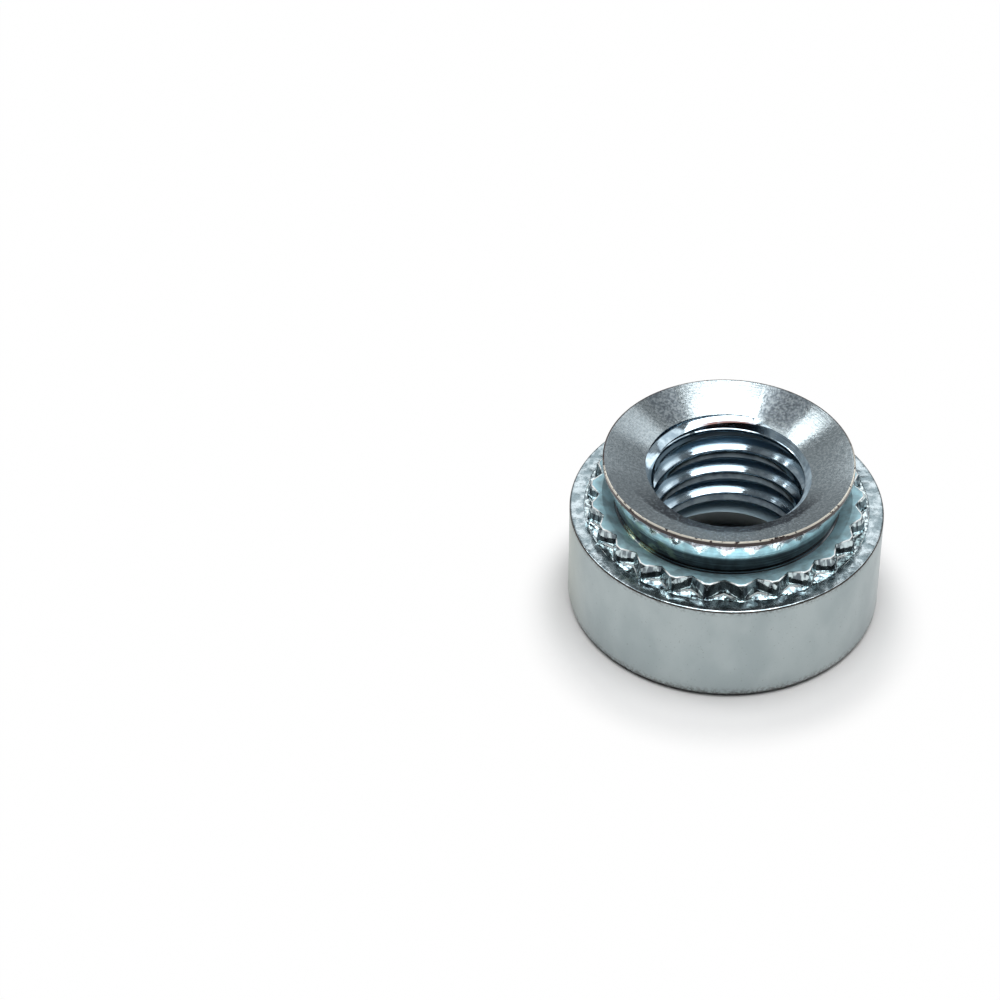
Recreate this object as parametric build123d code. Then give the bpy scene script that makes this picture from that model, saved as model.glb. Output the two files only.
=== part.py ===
from build123d import *

import os
from math import cos, radians, sin, tan

# Body: the plain round head that stays on the back of the sheet
body_diameter = 10.95
body_height = 4.00
base_edge_radius = 0.30
shoulder_edge_break = 0.06

# Clinch ring: the raised ring that bites into the sheet, with a 45 degree bevel outside
ring_diameter = 9.75
ring_height = 0.56
ring_bevel = 0.175
ring_crest_diameter = ring_diameter - 2 * ring_bevel
ring_top_width = 0.35
ring_inner_diameter = ring_crest_diameter - 2 * ring_top_width
ring_inner_height = 0.52

# Serration: V notches pressed into the outside of the clinch ring
notch_count = 25
notch_depth = 0.305
notch_root_diameter = ring_diameter - 2 * notch_depth
notch_angle = 125.0
notch_draft = 8.5
notch_floor_sink = 0.04
notch_floor_margin = 0.09

# Shank: the stub that fills the hole in the sheet, back-tapered to a neck beside the ring
shank_length = 2.15
rim_diameter = 8.72
rim_land = 0.20
rim_edge_break = 0.04
neck_groove_width = 0.55
neck_diameter = ring_inner_diameter - 2 * neck_groove_width
neck_height = 0.25
neck_bevel = 0.06

# Bore: thread minor diameter, with a dished mouth at the shank end and a funnel at the base
minor_diameter = 5.14
bore_edge_break = 0.12
lead_in_diameter = minor_diameter + 2 * bore_edge_break
lead_in_width = 0.33
lead_in_angle = 37.0
dish_diameter = lead_in_diameter + 2 * lead_in_width
dish_angle = 20.0
dish_edge_width = 0.05
funnel_diameter = 7.10
funnel_depth = 1.55
funnel_mouth_radius = 0.35


def dish_outer_radius():
    """Radius at which the dished end face starts, just inside the rim."""
    return rim_diameter / 2 - dish_edge_width


def dish_floor_height():
    """Height of the dish's inner edge, where the lead-in chamfer starts."""
    fall = (dish_outer_radius() - dish_diameter / 2) * tan(radians(dish_angle))
    return body_height + shank_length - fall


def lead_in_foot_height():
    """Height of the lead-in chamfer's foot, from where a small edge break leads to the bore wall."""
    return dish_floor_height() - lead_in_width / tan(radians(lead_in_angle))


def outer_corners():
    """Half section outside the bore, from the base edge up to the rim, as radius and height."""
    top = body_height + shank_length
    return {
        "base_edge": (body_diameter / 2, 0),
        "shoulder_edge": (body_diameter / 2, body_height),
        "ring_foot": (ring_diameter / 2, body_height),
        "ring_edge": (ring_diameter / 2, body_height + ring_height - ring_bevel),
        "ring_crest": (ring_crest_diameter / 2, body_height + ring_height),
        "ring_inner": (ring_inner_diameter / 2, body_height + ring_inner_height),
        "neck": (neck_diameter / 2, body_height + neck_height),
        "rim_foot": (rim_diameter / 2, top - rim_land),
        "rim_edge": (rim_diameter / 2, top),
    }


def bore_corners():
    """Half section inside the bore, from the dished end down to the base, as radius and height."""
    return {
        "dish_edge": (dish_outer_radius(), body_height + shank_length),
        "dish_floor": (dish_diameter / 2, dish_floor_height()),
        "lead_in_foot": (lead_in_diameter / 2, lead_in_foot_height()),
        "bore_edge": (minor_diameter / 2, lead_in_foot_height() - bore_edge_break),
        "funnel_top": (minor_diameter / 2, funnel_depth),
        "funnel_mouth": (funnel_diameter / 2, 0),
    }


def nearest_corner(section, place):
    """The one vertex of the section that lies at a place given as radius and height."""
    return section.vertices().sort_by_distance((place[0], place[1], 0))[0]


def turned_section():
    """Half section of the turned blank, with its edges eased, in the plane of radius and height."""
    corners = {**outer_corners(), **bore_corners()}
    section = make_face(Polyline(*corners.values(), close=True))
    rounded = {"base_edge": base_edge_radius, "funnel_mouth": funnel_mouth_radius}
    for name, radius in rounded.items():
        section = fillet(nearest_corner(section, corners[name]), radius)
    broken = {"shoulder_edge": shoulder_edge_break, "rim_edge": rim_edge_break, "neck": neck_bevel}
    for name, width in broken.items():
        section = chamfer(nearest_corner(section, corners[name]), width)
    return section


def turned_blank():
    """The blank as it leaves the lathe: the half section turned about the bore's axis."""
    upright = Plane.XZ * turned_section()
    return revolve(upright, Axis.Z)


def star_outline():
    """Notch roots and tooth points in turn at the notches' floor, one notch at -Y."""
    pitch = 360 / notch_count
    root_radius = notch_root_diameter / 2
    wall_angle = notch_angle / 2
    tip_radius = root_radius * sin(radians(wall_angle)) / sin(radians(wall_angle - pitch / 2))
    points = []
    for index in range(notch_count):
        root_turn = radians(index * pitch - 90)
        tip_turn = radians((index + 0.5) * pitch - 90)
        points.append((root_radius * cos(root_turn), root_radius * sin(root_turn)))
        points.append((tip_radius * cos(tip_turn), tip_radius * sin(tip_turn)))
    return make_face(Polyline(*points, close=True))


def notch_cutter():
    """What the notches take away: all round the star, whose walls lean inwards as they rise."""
    floor = Pos(0, 0, body_height - notch_floor_sink)
    depth = ring_height + 2 * notch_floor_sink
    pocket = extrude(floor * Circle(ring_diameter / 2 + notch_floor_margin), amount=depth)
    ring = extrude(floor * Circle(ring_diameter / 2), amount=depth)
    star = extrude(floor * star_outline(), amount=depth, taper=notch_draft)
    return pocket - (ring & star)


def clinch_nut():
    """The finished nut: the turned blank with the V notches pressed into its clinch ring."""
    return turned_blank() - notch_cutter()


nut = clinch_nut()
os.makedirs("parts", exist_ok=True)
export_step(nut, "parts/clinch_nut.step")
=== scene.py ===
"""Looks of an M6 x 1 self-clinching nut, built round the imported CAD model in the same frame.

Sizes are in millimetres until a piece is finished, because that is how the nut is drawn, and the
finished meshes are in metres. The nut stands on its base with the clinch end up.
"""

from __future__ import annotations

import logging
import math
from dataclasses import dataclass, field
from enum import Enum

import bmesh
import bpy
from mathutils import Matrix, Vector


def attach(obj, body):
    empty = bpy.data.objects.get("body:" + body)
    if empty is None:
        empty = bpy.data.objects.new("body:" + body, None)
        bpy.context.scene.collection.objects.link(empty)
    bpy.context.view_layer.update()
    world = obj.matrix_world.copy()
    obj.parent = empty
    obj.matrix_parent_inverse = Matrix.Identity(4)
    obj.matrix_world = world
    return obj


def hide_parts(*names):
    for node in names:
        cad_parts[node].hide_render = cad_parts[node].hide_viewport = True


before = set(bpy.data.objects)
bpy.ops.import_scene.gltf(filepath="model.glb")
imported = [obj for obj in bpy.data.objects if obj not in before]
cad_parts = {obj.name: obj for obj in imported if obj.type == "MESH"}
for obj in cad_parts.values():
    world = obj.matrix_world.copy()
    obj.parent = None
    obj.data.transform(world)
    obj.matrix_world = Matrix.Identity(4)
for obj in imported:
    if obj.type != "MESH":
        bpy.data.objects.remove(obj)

LOG = logging.getLogger("clinch_nut")
MM = 0.001

# Notches round the clinch ring
NOTCH_COUNT = 25
# Vertices nearer than this are one, in millimetres
WELD = 0.0002
# Energy per square metre of a lamp's face that looks as bright as white paper
WHITE_FACE = 4.0


Colour = tuple[float, float, float, float]
Span = tuple[float, float]


class ThreadHand(Enum):
    """Which way the thread climbs, seen from above: the value is the sign of its climb."""

    RIGHT = 1
    LEFT = -1


class Zone(Enum):
    """The surfaces of the nut that differ in finish. The value is the material's place on the mesh."""

    BODY = 0
    SHOULDER = 1
    NOTCHES = 2
    NECK = 3
    DISH = 4
    THREAD = 5


class Wire:
    """One number that runs through a shader, with the usual arithmetic."""

    def __init__(self, bench: Bench, source: bpy.types.NodeSocket) -> None:
        """Keep the socket that the number comes from.

        Args:
            bench: The node tree that new Math nodes are added to.
            source: The output socket that carries the number.
        """
        self.bench = bench
        self.source = source

    def _math(self, operation: str, first: object, second: object = None) -> Wire:
        """Add one Math node.

        Args:
            operation: The Math node's operation.
            first: Its first value, a Wire or a number.
            second: Its second value, a Wire or a number, or None where it takes only one.

        Returns:
            The node's result.
        """
        values = {0: first} if second is None else {0: first, 1: second}
        node = self.bench.add("ShaderNodeMath", {"operation": operation}, values)
        return Wire(self.bench, node.outputs[0])

    def __add__(self, other: object) -> Wire:
        """Sum."""
        return self._math("ADD", self, other)

    __radd__ = __add__

    def __mul__(self, other: object) -> Wire:
        """Product."""
        return self._math("MULTIPLY", self, other)

    __rmul__ = __mul__

    def __sub__(self, other: object) -> Wire:
        """Difference."""
        return self._math("SUBTRACT", self, other)

    def __rsub__(self, other: object) -> Wire:
        """Difference with this number taken away."""
        return self._math("SUBTRACT", other, self)

    def __abs__(self) -> Wire:
        """Size without the sign."""
        return self._math("ABSOLUTE", self)

    def sine(self) -> Wire:
        """Sine of an angle in radians."""
        return self._math("SINE", self)

    def root(self) -> Wire:
        """Square root."""
        return self._math("SQRT", self)

    def atan2(self, other: Wire) -> Wire:
        """Angle of the vector that has this number as its Y and the other as its X."""
        return self._math("ARCTAN2", self, other)

    def span(self, other: Wire) -> Wire:
        """Length of the vector that has this number and the other as its parts."""
        return (self * self + other * other).root()

    def most(self, other: object) -> Wire:
        """The larger of two numbers."""
        return self._math("MAXIMUM", self, other)

    def ramp(self, low: float, high: float, start: float = 0.0, end: float = 1.0) -> Wire:
        """Soft step from one value to another.

        Args:
            low: Where the step starts.
            high: Where it ends. It may be less than low, for a step down.
            start: Value before the step.
            end: Value after it.

        Returns:
            The stepped value.
        """
        settings = {"interpolation_type": "SMOOTHSTEP"}
        values = {"Value": self, "From Min": low, "From Max": high, "To Min": start, "To Max": end}
        return Wire(self.bench, self.bench.add("ShaderNodeMapRange", settings, values).outputs[0])

    def within(self, low: Span, high: Span) -> Wire:
        """Soft band between two steps.

        Args:
            low: Where the lower step starts and where it is full.
            high: Where the upper step is still full and where it ends.

        Returns:
            1 between the steps and 0 outside them.
        """
        return self.ramp(low[0], low[1]) * self.ramp(high[1], high[0])


class Bench:
    """The node tree of one material, filled through one method."""

    def __init__(self, name: str) -> None:
        """Start an empty material.

        Args:
            name: The material's name.
        """
        self.material = bpy.data.materials.new(name)
        self.material.use_nodes = True
        self._take(self.material.node_tree)

    def _take(self, tree: bpy.types.NodeTree) -> None:
        """Empty a node tree and work on it.

        Args:
            tree: The tree.
        """
        self.tree = tree
        self.tree.nodes.clear()
        self._place: bpy.types.NodeSocket | None = None

    @classmethod
    def of_tree(cls, tree: bpy.types.NodeTree) -> Bench:
        """Work on the node tree of something other than a material.

        Args:
            tree: The tree, which is emptied.

        Returns:
            The bench for it.
        """
        bench = cls.__new__(cls)
        bench._take(tree)
        return bench

    def add(self, kind: str, settings: dict | None = None, values: dict | None = None) -> bpy.types.Node:
        """Add one node.

        Args:
            kind: The node's type.
            settings: Its own settings, which are set first.
            values: What goes into its sockets, by name or number: a Wire, a socket or a value.

        Returns:
            The new node.
        """
        node = self.tree.nodes.new(kind)
        for name, setting in (settings or {}).items():
            setattr(node, name, setting)
        for key, value in (values or {}).items():
            socket = node.inputs[key]
            if isinstance(value, Wire):
                self.tree.links.new(value.source, socket)
            elif isinstance(value, bpy.types.NodeSocket):
                self.tree.links.new(value, socket)
            else:
                socket.default_value = value
        return node

    def place(self) -> bpy.types.NodeSocket:
        """The point on the nut, from Object coordinates.

        Returns:
            The socket that carries it, in millimetres.
        """
        if self._place is None:
            coordinates = self.add("ShaderNodeTexCoord")
            values = {0: coordinates.outputs["Object"], "Scale": 1.0 / MM}
            scaled = self.add("ShaderNodeVectorMath", {"operation": "SCALE"}, values)
            self._place = scaled.outputs[0]
        return self._place

    def parts(self) -> tuple[Wire, Wire, Wire]:
        """The point's X, Y and Z in millimetres."""
        node = self.add("ShaderNodeSeparateXYZ", None, {0: self.place()})
        return tuple(Wire(self, output) for output in node.outputs)

    def polar(self) -> tuple[Wire, Wire, Wire]:
        """Radius, turn and height of the point.

        Returns:
            The radius in millimetres, the turn in radians and the height in millimetres.
        """
        x, y, z = self.parts()
        return x.span(y), y.atan2(x), z

    def from_notch(self, turn: Wire) -> Wire:
        """How far the point is from the nearest notch: 0 in its middle and 1 between two notches."""
        return abs(((turn + math.pi / 2) * (NOTCH_COUNT / 2)).sine())

    def noise(
        self, scale: float, detail: float = 2.0, stretch: tuple = (1, 1, 1), seed: float = 0.0
    ) -> Wire:
        """Cloudy noise over the nut.

        Args:
            scale: How many clouds there are to a millimetre.
            detail: How many finer layers lie over the first.
            stretch: What each axis is multiplied by first.
            seed: Which of its patterns it is.

        Returns:
            A number from 0 to 1, about 0.5 in the middle.
        """
        moved = {"Vector": self.place(), "Scale": stretch, "Location": (seed, seed * 0.7, -seed)}
        mapped = self.add("ShaderNodeMapping", None, moved)
        values = {"Vector": mapped.outputs[0], "Scale": scale, "Detail": detail}
        return Wire(self, self.add("ShaderNodeTexNoise", None, values).outputs[0])

    def turned_noise(self, across: float, along: float, seed: float = 0.0) -> Wire:
        """Noise drawn out round the axis, as a lathe tool leaves it.

        Args:
            across: How many lines there are to a millimetre across the turning.
            along: How many changes there are to a millimetre of radius and turn along it.
            seed: Which of its patterns it is.

        Returns:
            A number from 0 to 1.
        """
        radius, turn, height = self.polar()
        values = {0: radius * across, 1: turn * along, 2: height * across + seed}
        point = self.add("ShaderNodeCombineXYZ", None, values)
        values = {"Vector": point.outputs[0], "Scale": 1.0, "Detail": 2.0}
        return Wire(self, self.add("ShaderNodeTexNoise", None, values).outputs[0])

    def mix(self, share: Wire, first: object, second: object) -> bpy.types.NodeSocket:
        """Blend two colours.

        Args:
            share: 0 gives the first colour and 1 the second.
            first: A colour of four numbers, or a socket.
            second: The same.

        Returns:
            The blended colour's socket.
        """
        settings = {"data_type": "RGBA", "blend_type": "MIX"}
        node = self.add("ShaderNodeMix", settings, {0: share, 6: first, 7: second})
        return node.outputs[2]

    def bump(
        self, height: Wire, depth: float, under: bpy.types.NodeSocket | None = None
    ) -> bpy.types.NodeSocket:
        """Raise the surface by a height.

        Args:
            height: The height, from 0 to 1.
            depth: What a height of 1 is, in millimetres.
            under: The normal of a bump that lies under this one.

        Returns:
            The bumped normal's socket.
        """
        values = {"Height": height, "Strength": 1.0, "Distance": depth * MM}
        if under is not None:
            values["Normal"] = under
        return self.add("ShaderNodeBump", None, values).outputs[0]

    def finish(self, values: dict) -> bpy.types.Material:
        """Close the tree with the shader of a plated metal.

        Args:
            values: What goes into the shader's sockets.

        Returns:
            The finished material.
        """
        shader = self.add("ShaderNodeBsdfPrincipled", None, {"Metallic": 1.0, **values})
        self.add("ShaderNodeOutputMaterial", None, {"Surface": shader.outputs[0]})
        return self.material


def tone(red: float, green: float, blue: float) -> Colour:
    """A colour from its three linear parts."""
    return red, green, blue, 1.0


@dataclass(frozen=True)
class BodyZinc:
    """Satin zinc on the body's side and base, dulled and browned at its worn edges."""

    light: Colour = tone(0.46, 0.52, 0.525)
    deep: Colour = tone(0.39, 0.45, 0.46)
    warm: Colour = tone(0.47, 0.50, 0.43)
    worn: Colour = tone(0.10, 0.095, 0.09)
    edge: Colour = tone(0.07, 0.055, 0.045)
    warm_turn: Span = (2.55, 3.0)
    edge_band: Span = (0.085, 0.05)
    roughness: float = 0.36
    height: float = 4.0
    radius: float = 5.475

    def build(self) -> bpy.types.Material:
        """Make the material.

        Returns:
            The body's material.
        """
        bench = Bench("zinc_body_satin")
        radius, turn, height = bench.polar()
        clouds = bench.noise(0.55, 3.0, (1, 1, 0.6), 3.0).ramp(0.35, 0.65)
        grain = bench.noise(28.0, 3.0, (1, 1, 1), 5.0)
        colour = bench.mix(clouds, self.light, self.deep)
        colour = bench.mix(grain.ramp(0.40, 0.75, 0.0, 0.20), colour, self.deep)
        specks = bench.noise(13.0, 3.0, (1, 1, 1), 31.0).ramp(0.66, 0.74, 0.0, 0.45)
        colour = bench.mix(specks, colour, self.worn)
        colour = bench.mix(abs(turn).ramp(*self.warm_turn, 0.0, 0.5), colour, self.warm)
        worn = self._edge_wear(bench, radius, height, grain)
        colour = bench.mix(worn, colour, self.worn)
        edge = height.ramp(*(self.height - below for below in self.edge_band))
        colour = bench.mix(edge * grain.ramp(0.3, 0.5, 0.75, 1.0), colour, self.edge)
        rough = clouds * 0.05 + grain * 0.06 + worn * 0.15 + (self.roughness - 0.06)
        normal = bench.bump(bench.noise(1.2, 2.0, (1, 1, 1), 8.0), 0.012)
        normal = bench.bump(grain, 0.0016, normal)
        return bench.finish({"Base Color": colour, "Roughness": rough, "Normal": normal})

    def _edge_wear(self, bench: Bench, radius: Wire, height: Wire, grain: Wire) -> Wire:
        """How worn the surface is, from 0 to 1, most along the base edge and the shoulder edge.

        Args:
            bench: The material's node tree.
            radius: The point's radius.
            height: The point's height.
            grain: The fine grain, which breaks the wear up.

        Returns:
            The wear.
        """
        flecks = bench.noise(9.0, 4.0, (1, 1, 1), 12.0)
        corner = height.ramp(0.55, 0.05) * radius.ramp(self.radius - 0.5, self.radius - 0.15)
        low = corner * (flecks * 0.7 + grain * 0.5 + corner * 0.12).ramp(0.56, 0.74)
        top = height.ramp(self.height - 0.30, self.height - 0.03)
        high = top * (flecks * 0.6 + grain * 0.5).ramp(0.50, 0.66) * 0.6
        return low.most(high)


@dataclass(frozen=True)
class ShoulderZinc:
    """Bright, faintly hammered zinc on the flat shoulder round the clinch ring."""

    light: Colour = tone(0.57, 0.66, 0.70)
    deep: Colour = tone(0.24, 0.31, 0.34)
    worn: Colour = tone(0.12, 0.10, 0.09)
    edge_band: Span = (0.045, 0.02)
    roughness: float = 0.20
    radius: float = 5.475

    def build(self) -> bpy.types.Material:
        """Make the material.

        Returns:
            The shoulder's material.
        """
        bench = Bench("zinc_shoulder_bright")
        radius, _, _ = bench.polar()
        dents = bench.noise(3.4, 2.0, (1, 1, 1), 1.0)
        grain = bench.noise(22.0, 2.0, (1, 1, 1), 2.0)
        colour = bench.mix(dents.ramp(0.35, 0.65), self.deep, self.light)
        edge = radius.ramp(*(self.radius - inside for inside in self.edge_band))
        colour = bench.mix(edge * grain.ramp(0.25, 0.5, 0.5, 1.0), colour, self.worn)
        rough = grain * 0.10 + (self.roughness - 0.05)
        normal = bench.bump(dents, 0.020)
        normal = bench.bump(grain, 0.0012, normal)
        return bench.finish({"Base Color": colour, "Roughness": rough, "Normal": normal})


@dataclass(frozen=True)
class NotchZinc:
    """Mirror-bright zinc on the pressed walls and floors of the notches, with painted highlight lines
    along the feet of the walls and the top edges of the teeth.
    """

    light: Colour = tone(0.66, 0.78, 0.80)
    deep: Colour = tone(0.15, 0.18, 0.20)
    bright: Colour = tone(0.92, 0.95, 0.95)
    foot_highlight_band: tuple[Span, Span] = ((3.966, 3.974), (4.03, 4.04))
    crest_height: Span = (4.51, 4.53)
    roughness: float = 0.03

    def build(self) -> bpy.types.Material:
        """Make the material.

        Returns:
            The notches' material.
        """
        bench = Bench("zinc_notch_mirror")
        streaks = bench.noise(7.0, 2.0, (1, 1, 0.25), 6.0)
        dents = bench.noise(4.0, 2.0, (1, 1, 1), 16.0)
        _, turn, height = bench.polar()
        colour = bench.mix(streaks.ramp(0.40, 0.60), self.light, self.deep)
        from_notch = bench.from_notch(turn)
        # Painted highlight: thin bright, less metallic lines along the foot of each notch wall and the
        # top edge of each tooth.
        foot = height.within(*self.foot_highlight_band) * from_notch.ramp(0.95, 0.55)
        crest = height.ramp(*self.crest_height) * from_notch.ramp(0.30, 0.75)
        edge = foot.most(crest)
        colour = bench.mix(edge, colour, self.bright)
        rough = streaks * 0.06 + edge * 0.35 + self.roughness
        normal = bench.bump(dents, 0.005)
        normal = bench.bump(streaks, 0.0015, normal)
        values = {"Base Color": colour, "Metallic": 1.0 - edge * 0.7, "Roughness": rough}
        return bench.finish({**values, "Normal": normal})


@dataclass(frozen=True)
class NeckZinc:
    """Bright teal zinc in the turned undercut, with the fine lines of the lathe tool, painted shade in
    the lower part of the undercut, a painted reflection of the notches under the rim and a painted
    highlight along the corner.
    """

    light: Colour = tone(0.66, 0.73, 0.74)
    deep: Colour = tone(0.42, 0.49, 0.51)
    satin: Colour = tone(0.43, 0.68, 0.76)
    bright: Colour = tone(0.85, 0.90, 0.90)
    tint: Colour = tone(0.52, 0.58, 0.40)
    shade: Colour = tone(0.05, 0.055, 0.065)
    painted_scallop_reflection: Colour = tone(0.24, 0.21, 0.22)
    crest_height: Span = (4.62, 4.58)
    crest_radius: Span = (3.90, 3.96)
    corner_highlight_height: Span = (4.32, 4.30)
    tint_turn: float = -135.0
    tint_reach: Span = (0.55, 0.15)
    shade_height: Span = (5.21, 5.09)
    scallop_reflection_height: Span = (5.65, 5.71)
    scallop_reflection_rise: float = 0.20
    scallop_reflection_turn: tuple[Span, Span] = ((-2.7, -2.2), (-0.9, -0.4))
    roughness: float = 0.06

    def build(self) -> bpy.types.Material:
        """Make the material.

        Returns:
            The neck's material.
        """
        bench = Bench("zinc_neck_turned")
        lines = bench.turned_noise(16.0, 1.2, 4.0)
        clouds = bench.noise(2.2, 3.0, (1, 1, 1), 9.0)
        colour = bench.mix(lines.ramp(0.3, 0.7), self.deep, self.light)
        colour = bench.mix(clouds.ramp(0.35, 0.7, 0.0, 0.6), colour, self.light)
        radius, turn, height = bench.polar()
        low = height.ramp(*self.shade_height)
        colour = bench.mix(low * lines.ramp(0.2, 0.8, 1.0, 0.75), colour, self.shade)
        beside = abs(turn - math.radians(self.tint_turn)).ramp(*self.tint_reach)
        colour = bench.mix(beside * clouds.ramp(0.45, 0.60, 0.0, 0.7), colour, self.tint)
        # Painted reflection of the notches: a darker, scalloped band high under the rim, over the front
        # half only.
        wave = bench.from_notch(turn) * self.scallop_reflection_rise
        high = (height - wave).ramp(*self.scallop_reflection_height) * turn.within(*self.scallop_reflection_turn)
        colour = bench.mix(high * clouds.ramp(0.2, 0.5, 0.6, 1.0), colour, self.painted_scallop_reflection)
        crest = height.ramp(*self.crest_height) * radius.ramp(*self.crest_radius)
        colour = bench.mix(crest * clouds.ramp(0.35, 0.65, 0.55, 1.0), colour, self.satin)
        # Painted highlight: a thin bright, less metallic line along the corner at the foot of the
        # undercut.
        corner = height.ramp(*self.corner_highlight_height)
        colour = bench.mix(corner * lines.ramp(0.2, 0.6, 0.5, 1.0), colour, self.bright)
        rough = lines * 0.06 + crest * 0.32 + self.roughness
        metallic = 1.0 - crest * 0.45 - corner * 0.40
        normal = bench.bump(lines, 0.002)
        normal = bench.bump(clouds, 0.004, normal)
        values = {"Base Color": colour, "Metallic": metallic, "Roughness": rough, "Normal": normal}
        return bench.finish({**values, "Specular IOR Level": 0.0})


@dataclass(frozen=True)
class DishZinc:
    """Fine-turned zinc on the dished end and the rim, with a grainy bloom in places, painted shade on the
    left and along the front inner edge, and a painted highlight on the rim's top edge.
    """

    light: Colour = tone(0.53, 0.60, 0.63)
    deep: Colour = tone(0.38, 0.45, 0.48)
    dull: Colour = tone(0.13, 0.155, 0.18)
    dark: Colour = tone(0.045, 0.055, 0.07)
    edge: Colour = tone(0.055, 0.042, 0.04)
    rim: Colour = tone(0.66, 0.63, 0.55)
    patches: tuple = ((126.0, 8.0, 3.05), (60.0, 12.0, 3.0))
    left_shade_turn: Span = (2.1, 2.9)
    front_turn: float = -88.0
    front_spread: Span = (1.35, 0.75)
    front_reach: Span = (3.60, 3.40)
    rim_highlight_turn: tuple[Span, Span] = ((-3.1, -2.9), (-0.2, 0.5))
    rim_band: Span = (0.07, 0.04)
    land_band: Span = (0.03, 0.06)
    roughness: float = 0.20
    rim_radius: float = 4.36
    rim_height: float = 6.15

    def build(self) -> bpy.types.Material:
        """Make the material.

        Returns:
            The dish's material.
        """
        bench = Bench("zinc_dish_turned")
        radius, turn, height = bench.polar()
        lines = bench.turned_noise(30.0, 2.0, 2.0)
        grain = bench.noise(11.0, 4.0, (1, 1, 1), 7.0)
        bloom = self._bloom(bench, radius, turn)
        colour = bench.mix(grain.ramp(0.35, 0.65), self.deep, self.light)
        # Painted shade: the left side of the dish is darker.
        colour = bench.mix(abs(turn).ramp(*self.left_shade_turn, 0.0, 0.35), colour, self.dull)
        colour = bench.mix(bloom * grain.ramp(0.70, 0.30, 0.40, 1.0), colour, self.dull)
        shade = self._shade(bench, radius, turn) * grain.ramp(0.70, 0.50, 0.4, 1.0)
        colour = bench.mix(shade, colour, self.dark)
        rim = radius.ramp(*(self.rim_radius - inside for inside in self.rim_band))
        land = height.ramp(*(self.rim_height - below for below in self.land_band)) * rim
        worn = bench.noise(5.0, 3.0, (1, 1, 1), 33.0).ramp(0.56, 0.64)
        # Painted highlight: a cream, less metallic line on the rim's top over the front half, broken up
        # by noise; the rest of the rim is dark brown.
        rim_highlight = turn.within(*self.rim_highlight_turn) * worn.ramp(1.0, 0.0)
        colour = bench.mix(rim, colour, bench.mix(rim_highlight, self.edge, self.rim))
        colour = bench.mix(land, colour, self.edge)
        metallic = 1.0 - rim_highlight * rim * 0.6
        rough = grain * 0.10 + bloom * 0.12 + (self.roughness - 0.06)
        normal = bench.bump(lines, 0.0022)
        normal = bench.bump(grain * (bloom * 1.5 + 0.5), 0.0024, normal)
        values = {"Base Color": colour, "Metallic": metallic, "Roughness": rough, "Normal": normal}
        return bench.finish({**values, "Anisotropic": 0.8, "Anisotropic Rotation": 0.25})

    def _bloom(self, bench: Bench, radius: Wire, turn: Wire) -> Wire:
        """How dull and grainy the dish is, from 0 to 1, in a few patches.

        Args:
            bench: The material's node tree.
            radius: The point's radius.
            turn: The point's turn.

        Returns:
            The bloom.
        """
        ragged = (bench.noise(2.2, 4.0, (1, 1, 1), 21.0) - 0.5) * 1.1
        patches = 0.0
        for middle, half_width, inner in self.patches:
            away = abs(turn - math.radians(middle)) * (1 / math.radians(half_width))
            patch = (away + ragged).ramp(1.15, 0.75) * radius.ramp(inner - 0.25, inner + 0.25)
            patches = patch.most(patches)
        return patches

    def _shade(self, bench: Bench, radius: Wire, turn: Wire) -> Wire:
        """How dark the dish is along its front inner edge, from 0 to 1.

        Args:
            bench: The material's node tree.
            radius: The point's radius.
            turn: The point's turn.

        Returns:
            The darkness.
        """
        ragged = bench.noise(3.0, 4.0, (1, 1, 1), 41.0) - 0.5
        front = abs(turn - math.radians(self.front_turn)).ramp(*self.front_spread)
        edge = (radius + ragged * 0.4).ramp(*self.front_reach)
        return front * edge.most(0.25)


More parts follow.
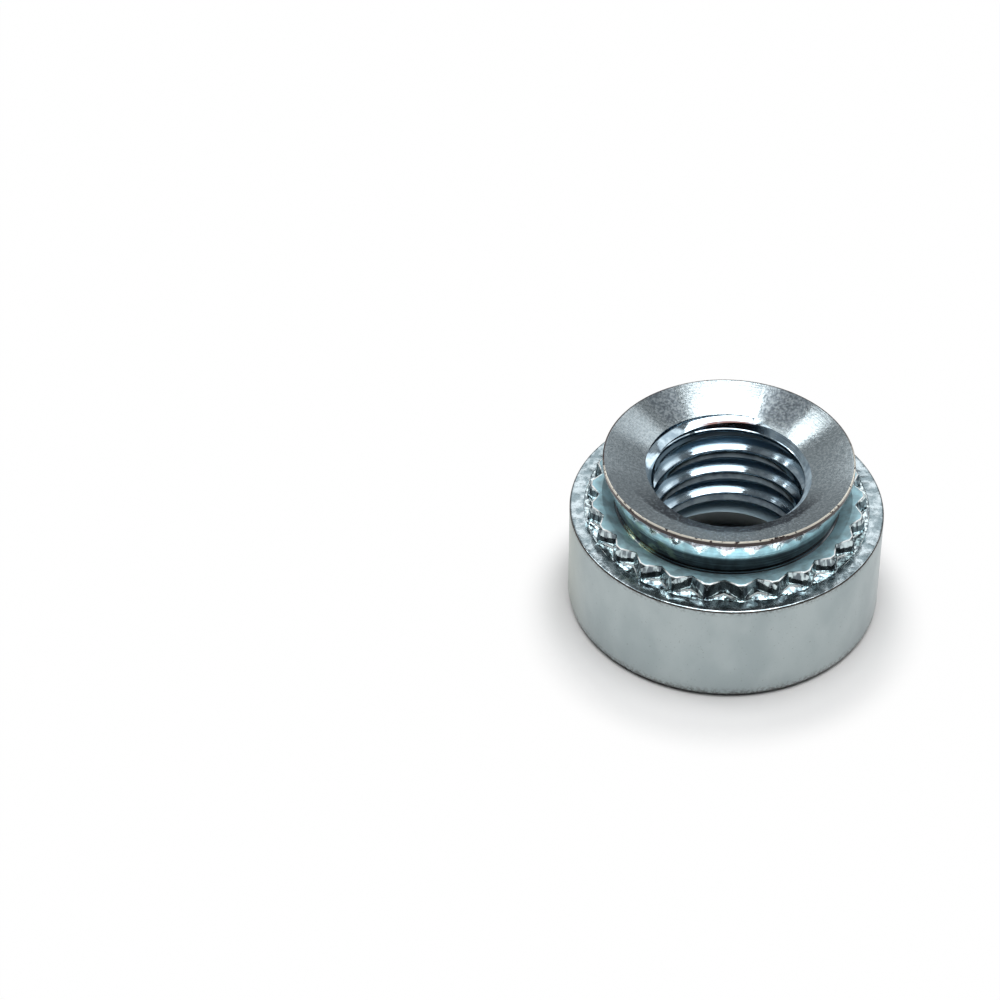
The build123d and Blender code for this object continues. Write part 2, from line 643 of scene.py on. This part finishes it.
@dataclass(frozen=True)
class ThreadZinc:
    """Bright slate-blue zinc on the thread, with lines drawn along it by the tap, and painted shade in
    the thread's roots, on the step below the ledge and at the bottom of the bore.
    """

    light: Colour = tone(0.56, 0.69, 0.77)
    deep: Colour = tone(0.34, 0.44, 0.52)
    slate: Colour = tone(0.21, 0.30, 0.37)
    scale: Colour = tone(0.075, 0.045, 0.042)
    funnel: Colour = tone(0.26, 0.35, 0.40)
    foot: Colour = tone(0.06, 0.085, 0.10)
    funnel_height: Span = (1.75, 1.60)
    foot_shade_height: Span = (0.92, 0.68)
    root_shade_radius: Span = (2.68, 2.80)
    step_shade_height: Span = (4.97, 5.02)
    ledge_height: Span = (5.26, 5.24)
    lead_in_height: Span = (5.27, 5.30)
    mouth_radius: Span = (2.84, 2.80)
    mouth_turn: tuple[Span, Span] = ((1.0, 1.35), (1.8, 2.2))
    right_turn: tuple[Span, Span] = ((-1.4, -1.0), (0.9, 1.25))
    roughness: float = 0.05

    def build(self) -> bpy.types.Material:
        """Make the material.

        Returns:
            The thread's material.
        """
        bench = Bench("zinc_thread_tapped")
        lines = bench.turned_noise(14.0, 1.6, 11.0)
        clouds = bench.noise(3.0, 2.0, (1, 1, 1), 13.0)
        radius, turn, height = bench.polar()
        colour = bench.mix(clouds.ramp(0.35, 0.65), self.deep, self.light)
        # Painted shade: the thread's roots and the step below the ledge are darker, in slate.
        below = height.ramp(*self.ledge_height)
        root_shade = radius.ramp(*self.root_shade_radius) * below
        step = height.ramp(*self.step_shade_height) * below
        colour = bench.mix(root_shade.most(step), colour, self.slate)
        funnel = height.ramp(*self.funnel_height)
        colour = bench.mix(funnel, colour, self.funnel)
        # Painted shade: the bottom of the bore, by the base, is near black.
        colour = bench.mix(height.ramp(*self.foot_shade_height), colour, self.foot)
        lead_in = height.ramp(*self.lead_in_height)
        right = lead_in * turn.within(*self.right_turn)
        mouth = lead_in * radius.ramp(*self.mouth_radius) * turn.within(*self.mouth_turn)
        colour = bench.mix(mouth * clouds.ramp(0.2, 0.5, 0.7, 1.0), colour, self.scale)
        rough = lines * 0.06 + root_shade * 0.08 + funnel * 0.35 + right * 0.20 + self.roughness
        metallic = 1.0 - root_shade * 0.25 - funnel * 0.75 - right * 0.6
        normal = bench.bump(lines, 0.0015)
        values = {"Base Color": colour, "Metallic": metallic, "Roughness": rough, "Normal": normal}
        return bench.finish({**values, "Specular IOR Level": 0.0})


@dataclass
class ClinchRing:
    """The serrated ring round the neck: a turned ring whose outside is pressed into V notches."""

    notch_angle: float = 125.0
    wall_draft: float = 8.5
    root_radius: float = 4.57
    tip_radius: float = 4.875
    floor_radius: float = 4.965
    floor_height: float = 3.96
    crest_radius: float = 4.70
    crest_height: float = 4.56
    edge_height: float = 4.385
    inner_radius: float = 4.35
    inner_height: float = 4.52
    kept_width: float = 0.03
    kept_share: float = 0.12
    foot_width: float = 0.02
    floor_gap: float = 0.003
    crowding: float = 0.11
    first_turn: float = -math.pi / 2

    @property
    def pitch(self) -> float:
        """Turn from one notch to the next, in radians."""
        return math.tau / NOTCH_COUNT

    def wall_radius(self, turn: float, height: float) -> float:
        """Radius of the notch wall, which leans inwards as it rises.

        Args:
            turn: Turn from the nearest notch's middle, in radians.
            height: Height in millimetres.

        Returns:
            The radius in millimetres.
        """
        half = math.radians(self.notch_angle / 2)
        lean = (height - self.floor_height) * math.tan(math.radians(self.wall_draft)) / math.sin(half)
        wall = (self.root_radius - lean) * math.sin(half) / math.sin(half - abs(turn))
        return min(wall, self.tip_radius)

    def top_height(self, radius: float) -> float:
        """Height of the turned ring's top before it is pressed.

        Args:
            radius: Radius in millimetres.

        Returns:
            The height in millimetres.
        """
        if radius > self.crest_radius:
            share = (radius - self.crest_radius) / (self.tip_radius - self.crest_radius)
            return self.crest_height + share * (self.edge_height - self.crest_height)
        share = (radius - self.inner_radius) / (self.crest_radius - self.inner_radius)
        return self.inner_height + share * (self.crest_height - self.inner_height)

    def spread_turn(self, turn: float) -> float:
        """Move a turn towards the nearest notch middle or tooth tip, so that both get fine facets.

        Args:
            turn: Turn in radians from a notch's middle.

        Returns:
            The moved turn.
        """
        step = self.pitch / 2
        count = math.floor(turn / step)
        share = turn / step - count
        return step * (count + share - self.crowding * math.sin(math.tau * share))

    def press(self, bm: bmesh.types.BMesh) -> None:
        """Press the notches into the spun blank by moving the ring's vertices.

        Args:
            bm: The blank, with its ring at the tip radius all round.
        """
        for vert in bm.verts:
            radius = math.hypot(vert.co.x, vert.co.y)
            turn = self.spread_turn(math.atan2(vert.co.y, vert.co.x) - self.first_turn)
            from_notch = (turn + self.pitch / 2) % self.pitch - self.pitch / 2
            beside = self.inner_radius + 0.001 < radius < self.floor_radius - 0.0005
            if beside and self.floor_height - 0.01 < vert.co.z < self.crest_height + 0.1:
                radius, vert.co.z = self._pressed(radius, vert.co.z, from_notch)
            vert.co.x = radius * math.cos(turn + self.first_turn)
            vert.co.y = radius * math.sin(turn + self.first_turn)

    def _pressed(self, radius: float, height: float, from_notch: float) -> tuple[float, float]:
        """Where a point of the turned ring goes when the notches are pressed.

        Args:
            radius: Its radius on the turned ring.
            height: Its height there.
            from_notch: Its turn from the nearest notch's middle, in radians.

        Returns:
            Its new radius and height.
        """
        wall = self.wall_radius(from_notch, height)
        behind = self.tip_radius - radius
        if behind > -0.001 and height > self.edge_height - 0.03:
            wall = self.wall_radius(from_notch, self.crest_height)
            for _ in range(3):
                wall = self.wall_radius(from_notch, self.top_height(wall))
            kept = min(behind, self.kept_width) + max(behind - self.kept_width, 0.0) * self.kept_share
            moved = min(radius, wall - kept)
            return moved, height + self.top_height(moved) - self.top_height(radius)
        if behind > -self.foot_width:
            return min(wall - behind, self.floor_radius - self.floor_gap), height
        start = wall + self.foot_width
        share = (-behind - self.foot_width) / (self.floor_radius - self.tip_radius - self.foot_width)
        return start + share * (self.floor_radius - start), height


@dataclass
class MetricThread:
    """The internal thread, as the tap that cuts it."""

    pitch: float = 1.0
    minor_radius: float = 2.57
    major_radius: float = 3.0
    flank_angle: float = 30.0
    crest_width: float = 0.33
    crest_rounding: float = 0.08
    root_rounding: float = 0.04
    rounding_facets: int = 3
    hand: ThreadHand = ThreadHand.LEFT
    start_turn: float = 168.0
    bottom: float = -0.4013
    top: float = 6.4017
    steps: int = 300

    def groove_section(self) -> bmesh.types.BMesh:
        """One pitch of the tap in the plane of radius and height, closed along the axis.

        Returns:
            A bmesh with the rounded section's edges, without those on and next to the axis.
        """
        depth = self.major_radius - self.minor_radius
        rise = depth * math.tan(math.radians(self.flank_angle))
        land = self.crest_width / 2
        crest = [(self.minor_radius, land), (self.minor_radius, self.pitch - land)]
        root = [(self.major_radius, land + rise), (self.major_radius, self.pitch - land - rise)]
        outline = [(0, 0), (self.minor_radius, 0), crest[0], *root, crest[1]]
        outline += [(self.minor_radius, self.pitch), (0, self.pitch)]
        bm = bmesh.new()
        verts = [bm.verts.new((radius, 0, height)) for radius, height in outline]
        bm.faces.new(verts)
        rounded = {self.crest_rounding: (2, 5), self.root_rounding: (3, 4)}
        for rounding, places in rounded.items():
            round_corners(bm, [verts[i] for i in places], rounding, self.rounding_facets)
        bmesh.ops.delete(bm, geom=list(bm.faces), context="FACES_ONLY")
        inner = [vert for vert in bm.verts if vert.co.x < self.minor_radius / 2]
        bmesh.ops.delete(bm, geom=inner, context="VERTS")
        return bm

    def tap(self) -> bmesh.types.BMesh:
        """The whole tap, closed at both ends.

        Returns:
            A closed bmesh that stands out of the nut above and below.
        """
        bm = self.groove_section()
        centre = (0, 0, 0)
        turned = Matrix.Rotation(math.radians(self.start_turn), 3, "Z")
        bmesh.ops.rotate(bm, verts=list(bm.verts), cent=centre, matrix=turned)
        lift = self.hand.value * self.pitch / self.steps
        bmesh.ops.spin(
            bm, geom=list(bm.verts) + list(bm.edges), cent=centre, axis=(0, 0, 1), dvec=(0, 0, lift),
            angle=math.tau, steps=self.steps, use_duplicate=False, use_merge=False,
        )
        one_turn = everything(bm)
        first = math.floor(self.bottom / self.pitch) - 2
        last = math.ceil(self.top / self.pitch) + 2
        for number in range(first, last):
            if number:
                verts = copy_verts(bm, one_turn)
                bmesh.ops.translate(bm, verts=verts, vec=(0, 0, number * self.pitch))
        bmesh.ops.remove_doubles(bm, verts=list(bm.verts), dist=WELD)
        for height, side in ((self.bottom, -1), (self.top, 1)):
            bmesh.ops.bisect_plane(
                bm, geom=everything(bm), dist=1e-6,
                plane_co=(0, 0, height), plane_no=(0, 0, side), clear_outer=True,
            )
        ends = [edge for edge in bm.edges if edge.is_boundary]
        bmesh.ops.holes_fill(bm, edges=ends, sides=0)
        bmesh.ops.recalc_face_normals(bm, faces=list(bm.faces))
        for face in bm.faces:
            face.material_index = Zone.THREAD.value
        return bm


def everything(bm: bmesh.types.BMesh) -> list:
    """All vertices, edges and faces of a bmesh."""
    return list(bm.verts) + list(bm.edges) + list(bm.faces)


def copy_verts(bm: bmesh.types.BMesh, geometry: list) -> list[bmesh.types.BMVert]:
    """Copy part of a bmesh and give the copy's vertices."""
    copied = bmesh.ops.duplicate(bm, geom=geometry)["geom"]
    return [piece for piece in copied if isinstance(piece, bmesh.types.BMVert)]


def round_corners(bm: bmesh.types.BMesh, corners: list, radius: float, segments: int) -> None:
    """Round corners of a flat outline to a radius.

    Args:
        bm: The bmesh with the outline's face.
        corners: The corners' vertices.
        radius: The radius, in the outline's own unit.
        segments: How many facets each rounding has.
    """
    for corner in corners:
        arms = [edge.other_vert(corner).co - corner.co for edge in corner.link_edges]
        half = arms[0].angle(arms[1]) / 2
        offset = radius / math.tan(half)
        bmesh.ops.bevel(
            bm, geom=[corner], offset=offset, offset_type="OFFSET", affect="VERTICES",
            segments=segments, profile=0.5, material=-1,
        )


@dataclass
class Nut:
    """The whole nut: a turned blank, its pressed clinch ring and its tapped bore.

    The body's radius is a hair under the real 5.475 mm, to stay inside the faceted solid's box.
    """

    body_radius: float = 5.4715
    body_height: float = 4.0
    total_height: float = 6.15
    rim_radius: float = 4.36
    rim_land: float = 0.20
    neck_radius: float = 3.80
    neck_height: float = 4.25
    dish_outer_radius: float = 4.31
    dish_inner_radius: float = 3.02
    dish_floor: float = 5.6805
    dish_fall: float = 0.364
    lead_in_foot: Span = (2.70, 5.285)
    ledge: Span = (2.665, 5.265)
    ledge_foot: Span = (2.655, 5.160)
    bore_top: float = 4.975
    lip: float = 0.23
    lip_middle: float = 112.0
    lip_full: float = 90.0
    lip_end: float = 152.0
    lip_reach: float = 0.04
    drilled_radius: float = 2.47
    funnel_radius: float = 3.55
    funnel_slope: float = 1.55 / 0.98
    facets_per_notch: int = 20
    sharp_angle: float = 25.0
    ring: ClinchRing = field(default_factory=ClinchRing)
    thread: MetricThread = field(default_factory=MetricThread)

    def corners(self) -> dict[str, tuple[float, float, float, int]]:
        """The half section's corners, from the base's edge round to the funnel's mouth.

        Returns:
            Each corner's radius, height, rounding and the rounding's facets, by its name.
        """
        ring = self.ring
        funnel_top = (self.funnel_radius - self.drilled_radius) * self.funnel_slope
        return {
            "base_edge": (self.body_radius, 0, 0.30, 6),
            "shoulder_edge": (self.body_radius, self.body_height, 0.07, 4),
            "floor_edge": (ring.floor_radius, self.body_height, 0.010, 2),
            "floor_foot": (ring.floor_radius - 0.008, ring.floor_height, 0.006, 2),
            "wall_foot": (ring.tip_radius, ring.floor_height, 0.018, 3),
            "ring_edge": (ring.tip_radius, ring.edge_height, 0.020, 3),
            "ring_crest": (ring.crest_radius, ring.crest_height, 0.03, 3),
            "ring_inner": (ring.inner_radius, ring.inner_height, 0.05, 3),
            "neck": (self.neck_radius, self.neck_height, 0.08, 4),
            "rim_foot": (self.rim_radius, self.total_height - self.rim_land, 0.03, 3),
            "rim_edge": (self.rim_radius, self.total_height, 0.035, 3),
            "dish_edge": (self.dish_outer_radius, self.total_height, 0.02, 2),
            "dish_floor": (self.dish_inner_radius, self.dish_floor, 0.02, 2),
            "lead_in_foot": (*self.lead_in_foot, 0.010, 2),
            "ledge": (*self.ledge, 0.012, 3),
            "ledge_foot": (*self.ledge_foot, 0.015, 2),
            "bore_top": (self.drilled_radius, self.bore_top, 0, 0),
            "funnel_top": (self.drilled_radius, funnel_top, 0, 0),
            "funnel_mouth": (self.funnel_radius, 0, 0.35, 6),
        }

    def blank(self) -> bmesh.types.BMesh:
        """Turn one pitch of the blank, press its notch and copy it all round.

        The bore is a little smaller than the tap, which cuts it to size.

        Returns:
            The closed blank.
        """
        bm = bmesh.new()
        corners = self.corners()
        verts = {name: bm.verts.new((place[0], 0, place[1])) for name, place in corners.items()}
        bm.faces.new(verts.values())
        for name, (_, _, rounding, facets) in corners.items():
            if rounding:
                round_corners(bm, [verts[name]], rounding, facets)
        bmesh.ops.delete(bm, geom=list(bm.faces), context="FACES_ONLY")
        pitch = self.ring.pitch
        turned = Matrix.Rotation(self.ring.first_turn - pitch / 2, 3, "Z")
        bmesh.ops.rotate(bm, verts=list(bm.verts), cent=(0, 0, 0), matrix=turned)
        bmesh.ops.spin(
            bm, geom=list(bm.verts) + list(bm.edges), cent=(0, 0, 0), axis=(0, 0, 1), dvec=(0, 0, 0),
            angle=pitch, steps=self.facets_per_notch, use_merge=False, use_duplicate=False,
        )
        for face in bm.faces:
            face.material_index = self.zone_of(face).value
        self.ring.press(bm)
        sector = everything(bm)
        for number in range(1, NOTCH_COUNT):
            verts = copy_verts(bm, sector)
            turned = Matrix.Rotation(number * pitch, 3, "Z")
            bmesh.ops.rotate(bm, verts=verts, cent=(0, 0, 0), matrix=turned)
        bmesh.ops.remove_doubles(bm, verts=list(bm.verts), dist=WELD)
        bmesh.ops.recalc_face_normals(bm, faces=list(bm.faces))
        self.raise_lip(bm)
        return bm

    def raise_lip(self, bm: bmesh.types.BMesh) -> None:
        """Push the dish's inner edge inwards over its back half, where the thread starts.

        Args:
            bm: The turned blank.
        """
        for vert in bm.verts:
            radius = math.hypot(vert.co.x, vert.co.y)
            beside = abs(radius - self.dish_inner_radius) < self.lip_reach
            if beside and abs(vert.co.z - self.dish_floor) < self.lip_reach:
                turn = math.degrees(math.atan2(vert.co.y, vert.co.x))
                away = abs((turn - self.lip_middle + 180) % 360 - 180)
                share = min(max((self.lip_end - away) / (self.lip_end - self.lip_full), 0), 1)
                moved = radius - self.lip * share
                vert.co.z -= self.lip * share * self.dish_fall
                vert.co.x *= moved / radius
                vert.co.y *= moved / radius

    def zone_of(self, face: bmesh.types.BMFace) -> Zone:
        """Which finish a face of the blank takes.

        Args:
            face: A face of the turned blank, before the notches are pressed.

        Returns:
            The face's zone.
        """
        middle = face.calc_center_median()
        radius = math.hypot(middle.x, middle.y)
        rim_foot = self.total_height - self.rim_land
        if radius < self.dish_inner_radius - 0.01 and middle.z > self.dish_floor / 2:
            return Zone.THREAD
        if middle.z > rim_foot or (middle.z > self.dish_floor - 0.05 and radius < self.dish_outer_radius):
            return Zone.DISH
        if radius > self.ring.floor_radius - 0.001:
            return Zone.SHOULDER if middle.z > self.body_height - 0.02 else Zone.BODY
        if radius > self.ring.crest_radius + 0.02 and middle.z > self.ring.floor_height - 0.1:
            return Zone.NOTCHES
        if middle.z > self.neck_height - 0.05 and radius > self.neck_radius - 0.02:
            return Zone.NECK
        return Zone.BODY

    def build(self) -> bpy.types.Object:
        """Make the nut and dress it.

        Returns:
            The finished piece, at the origin and in metres.
        """
        nut = make_object("clinch_nut_detailed", self.blank())
        tap = make_object("tap", self.thread.tap())
        finishes = (BodyZinc(), ShoulderZinc(), NotchZinc(), NeckZinc(), DishZinc(), ThreadZinc())
        for finish in finishes:
            material = finish.build()
            nut.data.materials.append(material)
            tap.data.materials.append(material)
        cut_away(nut, tap)
        nut.data.transform(Matrix.Scale(MM, 4))
        nut.data.set_sharp_from_angle(angle=math.radians(self.sharp_angle))
        return nut


def make_object(name: str, bm: bmesh.types.BMesh) -> bpy.types.Object:
    """Make an object of a bmesh and free the bmesh.

    Args:
        name: The object's name.
        bm: Its shape.

    Returns:
        The object, linked to the scene and smooth shaded.
    """
    mesh = bpy.data.meshes.new(name)
    for face in bm.faces:
        face.smooth = True
    bm.to_mesh(mesh)
    bm.free()
    made = bpy.data.objects.new(name, mesh)
    bpy.context.scene.collection.objects.link(made)
    return made


def cut_away(body: bpy.types.Object, tool: bpy.types.Object) -> None:
    """Cut one piece out of another and remove the cutting piece.

    Args:
        body: The piece that is cut. Its mesh is replaced.
        tool: The piece that cuts it.
    """
    modifier = body.modifiers.new("cut", "BOOLEAN")
    modifier.operation = "DIFFERENCE"
    modifier.solver = "MANIFOLD"
    modifier.object = tool
    graph = bpy.context.evaluated_depsgraph_get()
    cut = bpy.data.meshes.new_from_object(body.evaluated_get(graph), depsgraph=graph)
    body.modifiers.clear()
    body.data = cut
    bpy.data.objects.remove(tool)


@dataclass
class Studio:
    """The pale table, the soft lamps and the camera, none of which is part of the nut."""

    floor_size: float = 2.4
    floor_white: float = 0.70
    floor_glow: float = 0.99
    floor_painted_shadow: float = 0.26
    hole_radius: Span = (3.6, 4.4)
    shadow_reach: Span = (5.7, 7.4)
    shadow_lean: float = 1.1
    room_front: float = 0.05
    room_back: float = 0.38
    room_top: float = 0.15
    room_along: Span = (-0.60, 0.0)
    room_up: Span = (0.55, 0.95)
    reach: float = 0.5
    lens: float = 132.17
    sensor: float = 36.0
    camera_place: tuple = (-0.0014768, -0.0968678, 0.0879131)
    camera_tilt: float = 49.1
    camera_turn: float = 3.8

    def floor(self) -> bpy.types.Object:
        """Lay the pale table.

        Returns:
            The floor.
        """
        bm = bmesh.new()
        bmesh.ops.create_grid(bm, x_segments=8, y_segments=8, size=self.floor_size / 2)
        made = make_object("floor", bm)
        bench = Bench("pale_paper")
        x, y, _ = bench.parts()
        # Painted shadow: the paper under the nut is dark grey, which shows only through the bore.
        white, under = tone(*(self.floor_white,) * 3), tone(*(self.floor_painted_shadow,) * 3)
        open_paper = bench.add("ShaderNodeBsdfDiffuse", None, {"Color": white})
        painted_shadow_paper = bench.add("ShaderNodeBsdfDiffuse", None, {"Color": under})
        beside = x.span(y).ramp(*self.hole_radius)
        shaders = {0: beside, 1: painted_shadow_paper.outputs[0], 2: open_paper.outputs[0]}
        matt = bench.add("ShaderNodeMixShader", None, shaders)
        light = bench.add("ShaderNodeEmission", None, {"Color": tone(1, 1, 1), "Strength": 1.0})
        path = bench.add("ShaderNodeLightPath")
        clear = x.span(y + self.shadow_lean).ramp(*self.shadow_reach) * self.floor_glow
        share = Wire(bench, path.outputs["Is Camera Ray"]) * clear
        both = bench.add("ShaderNodeMixShader", None, {0: share, 1: matt.outputs[0], 2: light.outputs[0]})
        bench.add("ShaderNodeOutputMaterial", None, {"Surface": both.outputs[0]})
        made.data.materials.append(bench.material)
        return made

    def lamp(
        self, name: str, toward: tuple, spread: Span, brightness: float, round_face: bool = False
    ) -> bpy.types.Object:
        """Hang one soft lamp that faces the nut.

        Args:
            name: The lamp's name.
            toward: The direction from the nut to the lamp.
            spread: How wide and how high the lamp looks from the nut, in degrees.
            brightness: How bright its face looks, where 1 is white.
            round_face: Whether its face is round rather than square.

        Returns:
            The lamp.
        """
        light = bpy.data.lights.new(name, "AREA")
        light.shape = "ELLIPSE" if round_face else "RECTANGLE"
        wide, high = (2 * self.reach * math.tan(math.radians(angle) / 2) for angle in spread)
        light.size, light.size_y = wide, high
        filled = math.pi / 4 if round_face else 1
        light.energy = WHITE_FACE * wide * high * brightness * filled
        made = bpy.data.objects.new(name, light)
        place = Vector(toward).normalized() * self.reach
        made.location = place
        made.rotation_euler = place.to_track_quat("Z", "Y").to_euler()
        made.visible_camera = False
        bpy.context.scene.collection.objects.link(made)
        return made

    def room(self) -> None:
        """Fill the room with soft light: grey walls behind the nut, and a darker side by the camera."""
        world = bpy.data.worlds.new("room")
        world.use_nodes = True
        bench = Bench.of_tree(world.node_tree)
        coordinates = bench.add("ShaderNodeTexCoord")
        parts = bench.add("ShaderNodeSeparateXYZ", None, {0: coordinates.outputs["Generated"]})
        along, up = Wire(bench, parts.outputs[1]), Wire(bench, parts.outputs[2])
        behind = along.ramp(*self.room_along, self.room_front, self.room_back)
        grey = up.ramp(*self.room_up) * (self.room_top - behind) + behind
        tint = bench.add("ShaderNodeCombineColor", None, {0: grey * 0.98, 1: grey, 2: grey * 1.02})
        light = bench.add("ShaderNodeBackground", None, {"Color": tint.outputs[0], "Strength": 1.0})
        bench.add("ShaderNodeOutputWorld", None, {"Surface": light.outputs[0]})
        bpy.context.scene.world = world

    def camera(self) -> bpy.types.Object:
        """Place the camera.

        Returns:
            The camera, which the scene looks through.
        """
        data = bpy.data.cameras.new("camera")
        data.lens = self.lens
        data.sensor_width = self.sensor
        data.clip_start = 0.005
        made = bpy.data.objects.new("camera", data)
        made.location = self.camera_place
        made.rotation_euler = (math.radians(self.camera_tilt), 0, math.radians(self.camera_turn))
        bpy.context.scene.collection.objects.link(made)
        bpy.context.scene.camera = made
        return made

    def build(self) -> None:
        """Set up the whole studio."""
        bpy.context.scene.view_settings.view_transform = "Standard"
        self.floor()
        self.room()
        self.lamp("overhead", (0.05, -0.13, 0.98), (47, 47), 4.2, round_face=True)
        self.lamp("back_panel", (0.0, 0.76, 0.65), (34, 14), 0.95)
        self.lamp("streak", (-0.41, 0.40, 0.82), (7, 9), 4.0)
        self.lamp("right_lamp", (-0.63, 0.28, 0.7255), (12, 12), 4.0)
        self.lamp("left_flank", (0.57, 0.14, 0.81), (26, 26), 0.8, round_face=True)
        self.lamp("right_flank", (-0.52, 0.12, 0.84), (14, 20), 1.6)
        self.lamp("window", (0.66, 0.50, 0.56), (12, 18), 1.0)
        self.lamp("patch", (0.45, 0.50, 0.74), (16, 12), 1.0)
        self.camera()


def main() -> None:
    """Build the nut and the studio, and report each piece."""
    logging.basicConfig(level=logging.INFO, format="%(message)s")
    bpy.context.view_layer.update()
    nut = Nut().build()
    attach(nut, "root")
    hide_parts("clinch_nut")
    nut.data.calc_loop_triangles()
    LOG.info("%s: %d triangles", nut.name, len(nut.data.loop_triangles))
    Studio().build()


if __name__ == "__main__":
    main()
